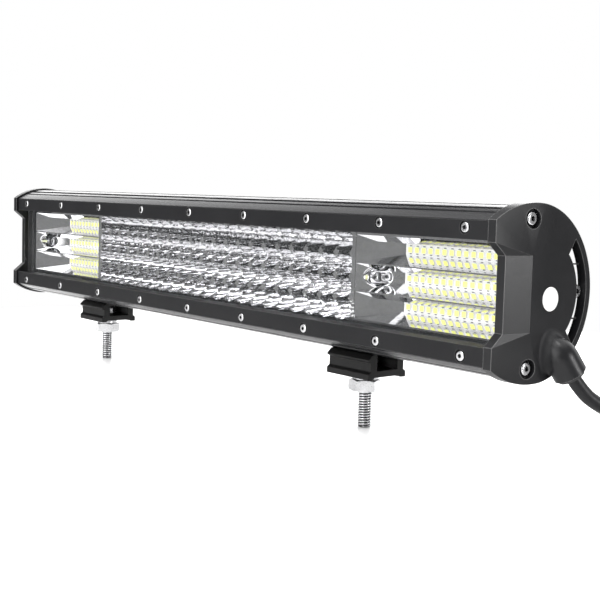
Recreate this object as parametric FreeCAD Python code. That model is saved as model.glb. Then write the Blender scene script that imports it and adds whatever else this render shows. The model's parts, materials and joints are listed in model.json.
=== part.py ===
import FreeCAD, Part
import math
import os

os.makedirs("parts", exist_ok=True)

Vector = FreeCAD.Vector

# LED light bar for a vehicle, in millimetres.
# X runs along the bar, -Y is the side that shines, +Z is up.
# The origin is midway between the two mounting studs, level with the underside of their nuts.

# ---- Mounting hardware, from the nuts upwards ----
stud_spacing = 295.0
stud_radius = 4.0
thread_core_radius = 3.3
bolt_length = 35.0
nut_across_flats = 17.0
nut_height = 6.5
nut_turn = 47.0  # from a corner on X to the way the nuts are tightened
bolt_head_across_flats = 13.0
bolt_head_height = 5.3
spring_washer_thickness = 2.0
spring_washer_radius = 7.4
flat_washer_thickness = 1.6
flat_washer_radius = 8.0
washer_clearance = 0.2
bolt_hole_clearance = 0.25

# ---- Bracket, an extruded slider ----
bracket_length = 35.0
bracket_half_width = 14.4
bracket_height = 14.2
bracket_foot_drop = 1.1
bracket_foot_width = 3.75
bracket_floor = 3.8
bracket_web_inset = 1.8
bracket_half_cavity = 7.75
bracket_lip_width = 3.0
bracket_lip_fall = 2.7
bracket_lip_edge = 1.1
bracket_foot_face = 3.4
hook_wall = 2.0
hook_reach = 2.0
hook_height = 2.0
slide_gap = 0.3

# ---- Housing, an extrusion with cooling fins behind ----
lamp_length = 510.0
body_radius = 43.0
flat_inset = 1.5
face_depth = 24.5
lip_thickness = 2.3
back_wall = 4.0
fin_pitch = 7.0
fin_thickness = 2.0
fins_each_side = 5
short_fin_step = 7.0
# Each groove is (front, back, depth): how far behind the face it starts and ends, and how deep
# it goes under the round surface.
side_groove = (5.8, 7.5, 2.5)
top_grooves = [(10.1, 13.25, 7.0), (18.0, 21.3, 1.1), (29.0, 32.2, 8.8), (35.4, 38.6, 7.1)]
screw_port_depth = 12.0
rear_port_radius = 4.2

# ---- Rails that clamp the lens ----
rail_edge_inset = 0.25
rail_width = 9.5
rail_plate = 3.5
rail_gap = 0.15
rail_lip = 3.3
screw_pitch = 60.0
rail_end_margin = 12.0
rail_screw_inset = 3.7
rail_screw_radius = 1.5
rail_screw_length = 10.0
rail_head_radius = 2.6
rail_head_height = 1.65
rail_counterbore_radius = 3.3
rail_counterbore_depth = 1.4
rail_socket = 2.0
rail_hole_clearance = 0.1

# ---- Lens, reflectors and LED boards, from the front backwards ----
lens_recess = 9.0
lens_thickness = 3.0
lens_gap = 0.3
lens_gasket_thickness = 1.0
lens_gasket_width = 2.1
reflector_setback = 2.4
reflector_depth = 21.0
reflector_gap = 0.3
module_split = 146.0
module_margin = 1.4
centre_rows = 4
row_margin = 1.0
cup_pitch_x = 13.6
cup_spacing = 0.55
cup_throat_radius = 2.4
reflector_face = 1.5
reflector_wall = 0.5
trough_count = 3
trough_margin = 2.5
trough_rim = 0.4
trough_throat_height = 6.0
trough_inner_wall = 18.6
trough_outer_wall = 21.0
board_thickness = 1.6
board_gap = 0.5
led_size = 2.8
led_height = 0.7
side_led_pitch = 5.17
side_led_margin = 1.0
reflector_screw_inset = 8.6
reflector_screw_radius = 1.5
reflector_head_radius = 2.75
reflector_head_height = 1.8
reflector_screw_seat = 3.0
reflector_screw_length = 7.0
reflector_well_radius = 5.0
link_wire_radius = 0.6
link_wire_inset = 6.0
link_wire_spread = 1.2
link_notch_half_height = 2.6
link_notch_depth = 3.0
link_wire_length = 9.0

# ---- End caps ----
cap_gasket_thickness = 1.0
gasket_back_margin = 3.0
cap_thickness = 8.5
cap_front_strip = 5.0
cap_overhang = 1.2
ear_proud = 1.5
ear_corner_drop = 1.7
ear_bend_drop = 0.6
bay_front = 18.5
bay_half_height = 18.7
facet_back = -2.6
shoulder_back = 6.0
rim_width = 3.5
rim_thickness = 5.0
slot_width = 7.6
slot_half_height = 19.0
slot_tip_height = 26.6
bulge_radius = 28.0
slot_rib_height = 13.8
slot_rib_thickness = 0.8
slot_rib_depth = 1.5
cap_screw_y = -2.3
cap_screw_inset = 6.6
cap_screw_radius = 2.0
cap_screw_length = 14.0
cap_screw_clearance = 0.2
cap_head_radius = 3.4
cap_head_height = 2.2
cap_socket = 2.5
cap_counterbore_radius = 4.9
cap_seat_depth = 3.3
rear_screw_length = 12.0
rear_lug_radius = 4.0
rear_lug_thickness = 4.0
rear_well_clearance = 0.5
pocket_depth = 5.5
pocket_y = (-2.0, 20.0)
pocket_z = (-20.0, 8.0)
label_radius = 6.0
label_thickness = 0.3
label_y = 12.1
label_drop = 2.8

# ---- Cable boss, grommet and power cable ----
boss_angle = 60.7
boss_tilt = 14.0
boss_overreach = 1.4
boss_end_out = 6.3
boss_radius = 8.5
boss_straight = 9.0
boss_dome = 13.0
grommet_radius = 5.5
grommet_depth = 10.0
grommet_flange_radius = 7.0
grommet_flange_thickness = 1.8
lead_bore_radius = 1.8
lead_radius = 1.4
lead_straight = 5.0
lead_bend_inset = 2.5
lead_bend_drop = 18.0
lead_end_inset = 3.5
lead_notch_clearance = 1.3
lead_end_drop = 14.0
cable_radius = 3.75
cable_straight = 9.5
coil_turn_radius = 41.0
coil_centre = (330.0, 58.0)
coil_top_start = 76.0
coil_top_sweep = 136.0
coil_leave_angle = 0.0
tie_thickness = 1.0
tie_width = 5.0
tie_angle = 35.0
tail_length = 28.0
tail_rise = 2.4
plug_body_length = 30.0
plug_body_width = 15.0
plug_body_height = 13.0
plug_nose_length = 12.0
plug_nose_width = 11.0
plug_nose_height = 8.0
plug_latch = (5.0, 2.0, 16.0)
plug_boot_length = 14.0
plug_boot_radius = 5.2
plug_boot_clearance = 0.6
plug_pin_spacing = 5.0
plug_pin_radius = 1.1
plug_pin_depth = 8.0
plug_edge_fillet = 2.0

# ---- Levels and planes that follow ----
flat_drop = body_radius - flat_inset
axis_z = (
    nut_height + spring_washer_thickness + flat_washer_thickness
    - bracket_foot_drop + bracket_height + slide_gap + flat_drop
)
bracket_top = -flat_drop - slide_gap
bracket_bottom = bracket_top - bracket_height
floor_under = bracket_bottom + bracket_foot_drop
floor_top = floor_under + bracket_floor
stud_end_z = axis_z + floor_top - bolt_length

half_length = lamp_length / 2
short_fin_radius = body_radius - short_fin_step

rail_outer_height = math.sqrt(body_radius**2 - face_depth**2) - rail_edge_inset
rail_inner_height = rail_outer_height - rail_width
rail_screw_height = rail_outer_height - rail_screw_inset
rail_back_y = -face_depth + rail_plate
screws_per_rail = int((lamp_length - 2 * rail_end_margin) / screw_pitch) + 1

lens_front_y = -face_depth + lens_recess
lens_back_y = lens_front_y + lens_thickness
lens_half_height = rail_inner_height + rail_lip
cavity_half_height = lens_half_height - lens_gasket_width
ledge_y = lens_back_y + lens_gasket_thickness
reflector_front_y = ledge_y + reflector_setback
board_face_y = reflector_front_y + reflector_depth
wall_front_y = board_face_y + board_thickness
wall_back_y = wall_front_y + back_wall

optic_half_height = cavity_half_height - reflector_gap
centre_columns = int(2 * (module_split - module_margin) / cup_pitch_x)
cup_pitch_z = 2 * (optic_half_height - row_margin) / centre_rows
cup_mouth_radius = (cup_pitch_z - cup_spacing) / 2
trough_pitch = 2 * (optic_half_height - trough_margin) / trough_count
trough_mouth_height = trough_pitch - 2 * trough_rim
throat_x = (module_split + trough_inner_wall, half_length - trough_outer_wall)
side_led_run = throat_x[1] - throat_x[0] - led_size - 2 * side_led_margin
side_led_columns = int(side_led_run / side_led_pitch) + 1
link_wire_height = optic_half_height - link_wire_inset

cap_inner_x = half_length + cap_gasket_thickness
cap_outer_x = cap_inner_x + cap_thickness
cap_strip_x = cap_inner_x + cap_front_strip
cap_radius = body_radius + cap_overhang
ear_front = face_depth + ear_proud
ear_edge_height = math.sqrt(cap_radius**2 - ear_front**2)
ear_outer_height = ear_edge_height - ear_corner_drop
ear_inner_height = rail_inner_height - ear_bend_drop
rim_inner_radius = cap_radius - rim_width
bulge_centre = rim_inner_radius - slot_width - bulge_radius
cap_screw_height = body_radius - cap_screw_inset
rear_screw_y = rim_inner_radius - slot_width / 2
boss_end_reach = cap_radius + boss_overreach

# The cable boss points down and back, and a little outwards, along boss_axis.
boss_out = math.sin(math.radians(boss_tilt))
boss_flat = math.cos(math.radians(boss_tilt))
boss_down = math.radians(boss_angle)
boss_axis = Vector(
    boss_out,
    boss_flat * math.cos(boss_down),
    -boss_flat * math.sin(boss_down),
)
boss_end = Vector(
    cap_outer_x + boss_end_out,
    boss_end_reach * math.cos(boss_down),
    axis_z - boss_end_reach * math.sin(boss_down),
)


# ---- Shape helpers ----
def box(x, y, z):
    """A box from three (low, high) pairs, with z measured from the bar's axis."""
    corner = Vector(x[0], y[0], axis_z + z[0])
    return Part.makeBox(x[1] - x[0], y[1] - y[0], z[1] - z[0], corner)


def mid_box(length, depth, height, centre):
    """A box around a centre point."""
    corner = centre - Vector(length / 2, depth / 2, height / 2)
    return Part.makeBox(length, depth, height, corner)


def rod_x(radius, x, y, z):
    """A cylinder along X, with z measured from the bar's axis."""
    return Part.makeCylinder(radius, x[1] - x[0], Vector(x[0], y, axis_z + z), Vector(1, 0, 0))


def rod_y(radius, x, y, z):
    """A cylinder along Y, with z measured from the bar's axis."""
    return Part.makeCylinder(radius, y[1] - y[0], Vector(x, y[0], axis_z + z), Vector(0, 1, 0))


def section(outline, x):
    """A prism along X over an outline of (y, z) points about the bar's axis."""
    points = [Vector(x[0], y, axis_z + z) for y, z in outline]
    face = Part.Face(Part.makePolygon(points + points[:1]))
    return face.extrude(Vector(x[1] - x[0], 0, 0))


def mirrored(outline):
    """The outline's (y, z) points and their mirror images, as one closed outline."""
    return outline + [(-y, z) for y, z in reversed(outline)]


def turned(shape, position, direction):
    """The shape with its own +Z turned to a direction and its origin moved to a position."""
    moved = shape.copy()
    turn = FreeCAD.Rotation(Vector(0, 0, 1), direction)
    moved.Placement = FreeCAD.Placement(position, turn)
    return moved


def hexagon(across_flats, height):
    """A hexagonal prism on the XY plane, with two of its flats facing +Y and -Y."""
    corner = across_flats / math.sqrt(3)
    points = []
    for k in range(6):
        angle = math.radians(60 * k)
        points.append(Vector(corner * math.cos(angle), corner * math.sin(angle), 0))
    return Part.Face(Part.makePolygon(points + points[:1])).extrude(Vector(0, 0, height))


def socket_screw(radius, length, head_radius, head_height, socket):
    """A domed socket screw with its seat on the XY plane, its head above and its shank below."""
    head = Part.makeCylinder(head_radius, head_height)
    top_edges = [e for e in head.Edges if e.BoundBox.ZMin > head_height / 2]
    head = head.makeFillet(head_height * 0.45, top_edges)
    recess = hexagon(socket, head_height)
    recess.translate(Vector(0, 0, head_height * 0.35))
    shank = Part.makeCylinder(radius, length, Vector(0, 0, 0), Vector(0, 0, -1))
    return head.cut(recess).fuse(shank)


def beyond(point, normal):
    """A large block that fills the side of a plane that its normal points to."""
    size = 8 * body_radius
    block = Part.makeBox(size, size, size, Vector(-size / 2, -size / 2, 0))
    return turned(block, point, normal)


def plane_normal(a, b, c):
    """The normal of the plane through three points, turned to point to +X."""
    normal = (b - a).cross(c - a)
    normal.normalize()
    return normal if normal.x > 0 else normal * -1


def mirror_x(shape):
    """The shape's mirror image on the bar's other half."""
    return shape.mirror(Vector(0, 0, 0), Vector(1, 0, 0))


def group(shapes):
    """Separate solids that share one node."""
    return Part.makeCompound(shapes)


def save(name, shape):
    """Writes one sub-part."""
    if not shape.isValid():
        print("not valid:", name)
    shape.exportStep("parts/" + name + ".step")


# ---- Housing ----
def fin_gaps():
    """The open slots between the rear cooling fins."""
    gaps = []
    for k in range(-fins_each_side, fins_each_side):
        low = k * fin_pitch + fin_thickness / 2
        high = (k + 1) * fin_pitch - fin_thickness / 2
        gaps.append(box((-half_length, half_length), (wall_back_y, body_radius), (low, high)))
    return gaps


def short_fin_trims():
    """Rings that shorten every other fin."""
    trims = []
    ring = rod_x(body_radius + 1, (-half_length, half_length), 0, 0)
    ring = ring.cut(rod_x(short_fin_radius, (-half_length, half_length), 0, 0))
    for k in range(-fins_each_side, fins_each_side + 1):
        if k % 2:
            low = k * fin_pitch - fin_thickness / 2 - 0.1
            high = k * fin_pitch + fin_thickness / 2 + 0.1
            if abs(k) == fins_each_side:
                continue
            slab = box((-half_length, half_length), (wall_back_y, body_radius + 1), (low, high))
            trims.append(ring.common(slab))
    return trims


def hook_grooves():
    """The two undercut grooves in the lower flat that the brackets' hooks slide in."""
    inner = bracket_half_cavity - slide_gap
    mouth = bracket_half_cavity + hook_wall + slide_gap
    outer = mouth + hook_reach
    hook_low = -flat_drop + lip_thickness
    hook_high = hook_low + hook_height + 2 * slide_gap
    grooves = []
    for side in (-1, 1):
        for reach, z in ((mouth, (-body_radius, hook_low + 0.1)), (outer, (hook_low, hook_high))):
            y = sorted((side * inner, side * reach))
            grooves.append(box((-half_length, half_length), y, z))
    return grooves


def groove_cut(groove, side):
    """The space of one groove along the top (side 1) or the bottom (side -1)."""
    front, back, depth = groove
    y = (front - face_depth, back - face_depth)
    outermost = max(abs(y[0]), abs(y[1]))
    floor = math.sqrt(body_radius**2 - outermost**2) - depth
    z = sorted((side * floor, side * (body_radius + 1)))
    return box((-half_length, half_length), y, z)


def cap_screw_places():
    """The (y, z) places of one cap's screws: above, below and behind."""
    return [(cap_screw_y, cap_screw_height), (cap_screw_y, -cap_screw_height), (rear_screw_y, 0)]


def rail_screw_places():
    """The x places of one rail's screws."""
    first = -(screws_per_rail - 1) / 2 * screw_pitch
    return [first + k * screw_pitch for k in range(screws_per_rail)]


def rail_seat_y():
    """The floor of a rail's counterbores, where the screw heads seat."""
    return -face_depth + rail_counterbore_depth


def housing():
    span = (-half_length, half_length)
    body = rod_x(body_radius, span, 0, 0)
    reach = body_radius + 1
    body = body.common(box(span, (-face_depth, reach), (-flat_drop, reach)))
    seat = rail_outer_height + rail_gap
    rebate = lens_half_height + lens_gap
    cuts = [
        box(span, (-face_depth, rail_back_y), (-seat, seat)),
        box(span, (rail_back_y, ledge_y), (-rebate, rebate)),
        box(span, (ledge_y, wall_front_y), (-cavity_half_height, cavity_half_height)),
        groove_cut(side_groove, -1),
    ]
    cuts += [groove_cut(groove, 1) for groove in [side_groove] + top_grooves]
    cuts += fin_gaps() + short_fin_trims() + hook_grooves()
    body = body.cut(cuts)
    rear_port = rod_x(rear_port_radius, span, rear_screw_y, 0)
    body = body.fuse(rear_port)
    holes = []
    for y, z in cap_screw_places():
        holes.append(rod_x(cap_screw_radius, (half_length - screw_port_depth, half_length), y, z))
        holes.append(rod_x(cap_screw_radius, (-half_length, -half_length + screw_port_depth), y, z))
    screw_end = rail_seat_y() + rail_screw_length
    for x in rail_screw_places():
        for side in (-1, 1):
            depth = (rail_back_y - 1, screw_end)
            holes.append(rod_y(rail_screw_radius, x, depth, side * rail_screw_height))
    for side in (-1, 1):
        for end in (-1, 1):
            x = side * reflector_screw_x(end)
            depth = (board_face_y, reflector_screw_end())
            holes.append(rod_y(reflector_screw_radius, x, depth, 0))
    return body.cut(holes).removeSplitter()


# ---- Rails and their screws ----
def bezel_rail(side):
    """One clamping rail: a plate over the housing's edge and a lip that presses on the lens."""
    span = (-half_length, half_length)
    plate_z = sorted((side * rail_inner_height, side * rail_outer_height))
    lip_z = sorted((side * rail_inner_height, side * lens_half_height))
    rail = box(span, (-face_depth, rail_back_y), plate_z)
    rail = rail.fuse(box(span, (-face_depth, lens_front_y), lip_z))
    z = side * rail_screw_height
    holes = []
    for x in rail_screw_places():
        holes.append(rod_y(rail_counterbore_radius, x, (-face_depth, rail_seat_y()), z))
        bore = rail_screw_radius + rail_hole_clearance
        holes.append(rod_y(bore, x, (-face_depth, rail_back_y), z))
    return rail.cut(holes).removeSplitter()


def rail_screws(side):
    screw = socket_screw(
        rail_screw_radius, rail_screw_length, rail_head_radius, rail_head_height, rail_socket
    )
    z = axis_z + side * rail_screw_height
    seats = [Vector(x, rail_seat_y(), z) for x in rail_screw_places()]
    return group([turned(screw, seat, Vector(0, -1, 0)) for seat in seats])


# ---- Lens, gasket, reflectors and boards ----
def lens():
    height = (-lens_half_height, lens_half_height)
    return box((-half_length, half_length), (lens_front_y, lens_back_y), height)


def lens_gasket():
    """A flat ring between the lens and the housing's ledge."""
    outer = box(
        (-half_length, half_length), (lens_back_y, ledge_y), (-lens_half_height, lens_half_height)
    )
    width = lens_half_height - cavity_half_height
    inner = box(
        (-half_length + width, half_length - width),
        (lens_back_y, ledge_y),
        (-cavity_half_height, cavity_half_height),
    )
    return outer.cut(inner)


def cup_places():
    """The (x, z) places of the centre reflector's cups and of the LEDs under them."""
    places = []
    for row in range(centre_rows):
        z = (row - (centre_rows - 1) / 2) * cup_pitch_z
        for column in range(centre_columns):
            x = (column - (centre_columns - 1) / 2) * cup_pitch_x
            places.append((x, z))
    return places


def link_notch(x):
    """The space under the reflectors' edges for the wires that join two boards."""
    y = (board_face_y - link_notch_depth, board_face_y)
    z = (link_wire_height - link_notch_half_height, link_wire_height + link_notch_half_height)
    return box((x - link_wire_length / 2 - 1, x + link_wire_length / 2 + 1), y, z)


def moulding(x, cavities, walls):
    """A reflector's shell from x[0] to x[1]: a front face, a skirt, and walls round its cavities."""
    skirt = reflector_face
    depth = (reflector_front_y, board_face_y)
    block = box(x, depth, (-optic_half_height, optic_half_height))
    hollow = box(
        (x[0] + skirt, x[1] - skirt),
        (reflector_front_y + reflector_face, board_face_y),
        (-optic_half_height + skirt, optic_half_height - skirt),
    )
    return block.cut(hollow.cut(walls)).cut(cavities)


def cup(x, z, wall):
    """The cone of one cup, grown by a wall thickness."""
    mouth = Vector(x, reflector_front_y, axis_z + z)
    return Part.makeCone(
        cup_mouth_radius + wall, cup_throat_radius + wall, reflector_depth, mouth, Vector(0, 1, 0)
    )


def centre_reflector():
    edge = module_split - reflector_gap / 2
    cups = [cup(x, z, 0) for x, z in cup_places()]
    walls = [cup(x, z, reflector_wall) for x, z in cup_places()]
    shell = moulding((-edge, edge), cups, walls)
    return shell.cut([link_notch(-module_split), link_notch(module_split)])


def reflector_screw_x(end):
    """The distance from the bar's middle of a side reflector's screw: end is -1 inside, 1 outside."""
    if end < 0:
        return module_split + reflector_screw_inset
    return half_length - reflector_screw_inset


def reflector_screw_end():
    """The depth that the reflector screws reach, in the housing's back wall."""
    return board_face_y - reflector_screw_seat + reflector_screw_length


def trough(x, z, wall):
    """The funnel of one trough, from its wide mouth to the board, grown by a wall thickness."""
    mouth = (x[0] + trough_rim - wall, x[1] - trough_rim + wall)
    throat = (throat_x[0] - wall, throat_x[1] + wall)
    wires = []
    for span, height, y in (
        (mouth, trough_mouth_height, reflector_front_y),
        (throat, trough_throat_height, board_face_y),
    ):
        low = axis_z + z - height / 2 - wall
        high = axis_z + z + height / 2 + wall
        corners = [
            Vector(span[0], y, low),
            Vector(span[1], y, low),
            Vector(span[1], y, high),
            Vector(span[0], y, high),
        ]
        wires.append(Part.makePolygon(corners + corners[:1]))
    return Part.makeLoft(wires, True, True)


def side_reflector():
    """The right-hand side reflector: three troughs, each with slanted walls all round."""
    x = (module_split + reflector_gap / 2, half_length - reflector_gap)
    depth = (reflector_front_y, board_face_y)
    seat = board_face_y - reflector_screw_seat
    cavities = []
    walls = []
    for k in range(trough_count):
        z = (k - (trough_count - 1) / 2) * trough_pitch
        cavities.append(trough(x, z, 0))
        walls.append(trough(x, z, reflector_wall))
    for end in (-1, 1):
        place = reflector_screw_x(end)
        cavities.append(rod_y(reflector_well_radius, place, (reflector_front_y, seat), 0))
        cavities.append(rod_y(reflector_screw_radius, place, depth, 0))
        walls.append(rod_y(reflector_well_radius + reflector_face, place, depth, 0))
    return moulding(x, cavities, walls).cut(link_notch(module_split))


def lead_notch():
    """The space at a side reflector's outer end for the supply lead."""
    end = lead_route()[-1]
    reach = lead_radius + lead_notch_clearance
    z = (-lead_bend_drop - reach, -lead_end_drop + reach)
    return box((end.x - reach, half_length), (end.y - reach, board_face_y), z)


def led_board(x):
    """An aluminium-backed board from one x to another, with clear holes for the reflector screws."""
    board = box(x, (board_face_y, wall_front_y), (-optic_half_height, optic_half_height))
    holes = []
    for side in (-1, 1):
        for end in (-1, 1):
            place = side * reflector_screw_x(end)
            holes.append(rod_y(reflector_screw_radius, place, (board_face_y, wall_front_y), 0))
    return board.cut(holes)


def led(x, z):
    """One LED on the board's face."""
    centre = Vector(x, board_face_y - led_height / 2, axis_z + z)
    return mid_box(led_size, led_height, led_size, centre)


def side_led_places():
    """The (x, z) places of the right-hand board's LEDs: one row along each trough's throat."""
    middle = (throat_x[0] + throat_x[1]) / 2
    places = []
    for k in range(trough_count):
        z = (k - (trough_count - 1) / 2) * trough_pitch
        for column in range(side_led_columns):
            x = middle + (column - (side_led_columns - 1) / 2) * side_led_pitch
            places.append((x, z))
    return places


def reflector_screws():
    screw = socket_screw(
        reflector_screw_radius,
        reflector_screw_length,
        reflector_head_radius,
        reflector_head_height,
        rail_socket,
    )
    seats = []
    for side in (-1, 1):
        for end in (-1, 1):
            y = board_face_y - reflector_screw_seat
            seats.append(Vector(side * reflector_screw_x(end), y, axis_z))
    return group([turned(screw, seat, Vector(0, -1, 0)) for seat in seats])


def board_links():
    """Two short wires over each joint between boards."""
    wires = []
    y = board_face_y - link_wire_radius
    for side in (-1, 1):
        x = side * module_split
        for lift in (-1, 1):
            z = link_wire_height + lift * link_wire_spread
            ends = (x - link_wire_length / 2, x + link_wire_length / 2)
            wires.append(rod_x(link_wire_radius, ends, y, z))
    return group(wires)


# ---- End caps ----
def cap_outline():
    """A cap's outer edge: a round back with two ears in front and a bay between them."""
    corners = [
        (-ear_front, ear_edge_height),
        (-ear_front, ear_inner_height),
        (-bay_front, bay_half_height),
        (-bay_front, -bay_half_height),
        (-ear_front, -ear_inner_height),
        (-ear_front, -ear_edge_height),
    ]
    points = [Vector(0, y, axis_z + z) for y, z in corners]
    edges = [Part.LineSegment(a, b).toShape() for a, b in zip(points, points[1:])]
    back = Vector(0, cap_radius, axis_z)
    edges.append(Part.Arc(points[-1], back, points[0]).toShape())
    return Part.Wire(edges)


def cap_facets(shape):
    """The cap with its front outer edge cut away by the flat facets of its ears and bay."""
    ear = Vector(cap_strip_x, -ear_front, axis_z + ear_outer_height)
    ear_low = Vector(cap_strip_x, -ear_front, axis_z + ear_inner_height)
    bay = Vector(cap_strip_x, -bay_front, axis_z + bay_half_height)
    peak = Vector(cap_outer_x, facet_back, axis_z + bay_half_height)
    shoulder = Vector(cap_outer_x, shoulder_back, axis_z + cap_radius)
    ear_normal = plane_normal(ear, ear_low, peak)
    side_normal = plane_normal(ear_low, bay, peak)
    bay_normal = plane_normal(bay, peak, bay - Vector(0, 0, 1))
    shoulder_normal = plane_normal(ear, peak, shoulder)
    flip = Vector(side_normal.x, side_normal.y, -side_normal.z)
    low_bay = Vector(bay.x, bay.y, 2 * axis_z - bay.z)
    channel = beyond(bay, bay_normal)
    channel = channel.common(beyond(bay, side_normal)).common(beyond(low_bay, flip))
    flip = Vector(shoulder_normal.x, shoulder_normal.y, -shoulder_normal.z)
    low_ear = Vector(ear.x, ear.y, 2 * axis_z - ear.z)
    cuts = [
        channel,
        beyond(ear, ear_normal),
        beyond(ear, shoulder_normal),
        beyond(low_ear, flip),
    ]
    return shape.cut(cuts)


def crescent():
    """The slot between the cap's round rim and its bulging plate, for X from 0 upwards."""
    depth = cap_thickness + 2
    start = cap_inner_x - 1
    inside = rod_x(rim_inner_radius, (start, start + depth), 0, 0)
    tip_z = slot_tip_height
    tip_y = math.sqrt(rim_inner_radius**2 - tip_z**2)
    side_y = bulge_centre + math.sqrt(bulge_radius**2 - slot_half_height**2)
    wedge = section(
        [
            (side_y, slot_half_height),
            (tip_y, tip_z),
            (cap_radius, tip_z),
            (cap_radius, -tip_z),
            (tip_y, -tip_z),
            (side_y, -slot_half_height),
        ],
        (start, start + depth),
    )
    bulge = rod_x(bulge_radius, (start, start + depth), bulge_centre, 0)
    return inside.common(wedge).cut(bulge)


def end_cap():
    """The right-hand end cap, as cast, without a cable boss."""
    cap = Part.Face(cap_outline()).extrude(Vector(cap_thickness, 0, 0))
    cap.translate(Vector(cap_inner_x, 0, 0))
    cap = cap_facets(cap)
    step = cap_inner_x + cap_thickness - rim_thickness
    behind = box((cap_inner_x, step), (wall_back_y, cap_radius + 1), (-cap_radius, cap_radius))
    behind = behind.cut(rod_x(bulge_radius, (cap_inner_x, step), bulge_centre, 0))
    lug_end = cap_inner_x + rear_lug_thickness
    lug = rod_x(rear_lug_radius, (cap_inner_x, lug_end), rear_screw_y, 0)
    ribs = []
    for side in (-1, 1):
        z = (
            side * slot_rib_height - slot_rib_thickness / 2,
            side * slot_rib_height + slot_rib_thickness / 2,
        )
        y = (bulge_centre, rim_inner_radius)
        rib = box((step, step + slot_rib_depth), y, z)
        ribs.append(rib.common(rod_x(rim_inner_radius, (step, step + slot_rib_depth), 0, 0)))
    well_radius = cap_head_radius + rear_well_clearance
    well_top = lug_end + cap_head_height + rear_well_clearance
    well = rod_x(well_radius, (lug_end, well_top), rear_screw_y, 0)
    cap = cap.cut([behind, crescent()]).fuse(ribs + [lug]).cut([well, lead_pocket()])
    bore = cap_screw_radius + cap_screw_clearance
    holes = []
    for y, z in cap_screw_places():
        if z:
            seat = cap_outer_x - cap_seat_depth
            holes.append(rod_x(bore, (cap_inner_x, cap_outer_x), y, z))
            holes.append(rod_x(cap_counterbore_radius, (seat, cap_outer_x), y, z))
        else:
            holes.append(rod_x(bore, (cap_inner_x, lug_end), y, z))
    return cap.cut(holes).removeSplitter()


def lead_pocket():
    """The hollow in a cap's inner face that the supply lead crosses."""
    return box((cap_inner_x, cap_inner_x + pocket_depth), pocket_y, pocket_z)


def cable_boss():
    """The swelling on the right cap that the cable leaves by: a round rod with a domed root."""
    across = Vector(boss_radius, 0, 0)
    shoulder = across - Vector(0, 0, boss_straight)
    tip = Vector(0, 0, -boss_straight - boss_dome)
    behind_axis = (boss_dome**2 - boss_radius**2) / (2 * boss_radius)
    arc_radius = boss_radius + behind_axis
    half_sweep = math.atan2(boss_dome, behind_axis) / 2
    arc_centre = shoulder - Vector(arc_radius, 0, 0)
    halfway = Vector(math.cos(half_sweep), 0, -math.sin(half_sweep))
    edges = [
        Part.Arc(shoulder, arc_centre + halfway * arc_radius, tip).toBSpline().toShape(),
        Part.LineSegment(tip, Vector(0, 0, 0)).toShape(),
        Part.LineSegment(Vector(0, 0, 0), across).toShape(),
        Part.LineSegment(across, shoulder).toShape(),
    ]
    boss = Part.Face(Part.Wire(edges)).revolve(Vector(0, 0, 0), Vector(0, 0, 1), 360)
    return turned(boss, boss_end, boss_axis)


def right_end_cap():
    boss = cable_boss()
    inner_side = beyond(Vector(cap_inner_x, 0, axis_z), Vector(-1, 0, 0))
    cap = end_cap().fuse(boss.cut(inner_side))
    inwards = boss_axis * -1
    grommet_bore = Part.makeCylinder(grommet_radius, grommet_depth, boss_end, inwards)
    lead_bore = tube(lead_route(), lead_bore_radius)
    return cap.cut([grommet_bore, lead_bore, lead_pocket()]).removeSplitter()


def cap_gasket():
    """The right-hand seal between cap and housing, with the lamp's chamber open through it."""
    x = (half_length, cap_inner_x)
    ring = rod_x(body_radius, x, 0, 0)
    y = (lens_front_y, wall_back_y + gasket_back_margin)
    ring = ring.common(box(x, y, (-flat_drop, body_radius)))
    chamber = box(x, (lens_back_y, wall_front_y), (-cavity_half_height, cavity_half_height))
    bore = cap_screw_radius + cap_screw_clearance
    holes = [rod_x(bore, x, y, z) for y, z in cap_screw_places()[:2]]
    return ring.cut([chamber] + holes)


def cap_screws():
    """The right-hand cap's three screws."""
    long_screw = socket_screw(
        cap_screw_radius, cap_screw_length, cap_head_radius, cap_head_height, cap_socket
    )
    rear_screw = socket_screw(
        cap_screw_radius, rear_screw_length, cap_head_radius, cap_head_height, cap_socket
    )
    screws = []
    for y, z in cap_screw_places():
        if z:
            seat = Vector(cap_outer_x - cap_seat_depth, y, axis_z + z)
            screws.append(turned(long_screw, seat, Vector(1, 0, 0)))
        else:
            seat = Vector(cap_inner_x + rear_lug_thickness, y, axis_z)
            screws.append(turned(rear_screw, seat, Vector(1, 0, 0)))
    return group(screws)


def label_disc():
    """A bare round label on the right cap."""
    return rod_x(label_radius, (cap_outer_x, cap_outer_x + label_thickness), label_y, -label_drop)


# ---- Cable ----
def tube_path(route):
    """Straight runs joined by tangent arcs, and the radii of the arcs."""
    edges = []
    radii = []
    here = route[0]
    for before, corner, after in zip(route, route[1:], route[2:]):
        back = before - corner
        ahead = after - corner
        shorter = min(back.Length, ahead.Length)
        back.normalize()
        ahead.normalize()
        half_turn = (math.pi - back.getAngle(ahead)) / 2
        set_back = 0.45 * shorter
        radius_here = set_back / math.tan(half_turn)
        start = corner + back * set_back
        end = corner + ahead * set_back
        middle_way = back + ahead
        middle_way.normalize()
        to_arc = radius_here / math.cos(half_turn) - radius_here
        edges.append(Part.LineSegment(here, start).toShape())
        edges.append(Part.Arc(start, corner + middle_way * to_arc, end).toShape())
        radii.append(radius_here)
        here = end
    edges.append(Part.LineSegment(here, route[-1]).toShape())
    return Part.Wire(edges), radii


def tube(route, radius):
    """A round tube along a route's path."""
    path, radii = tube_path(route)
    ring = Part.Wire(Part.makeCircle(radius, route[0], route[1] - route[0]))
    return path.makePipeShell([ring], True, False)


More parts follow.
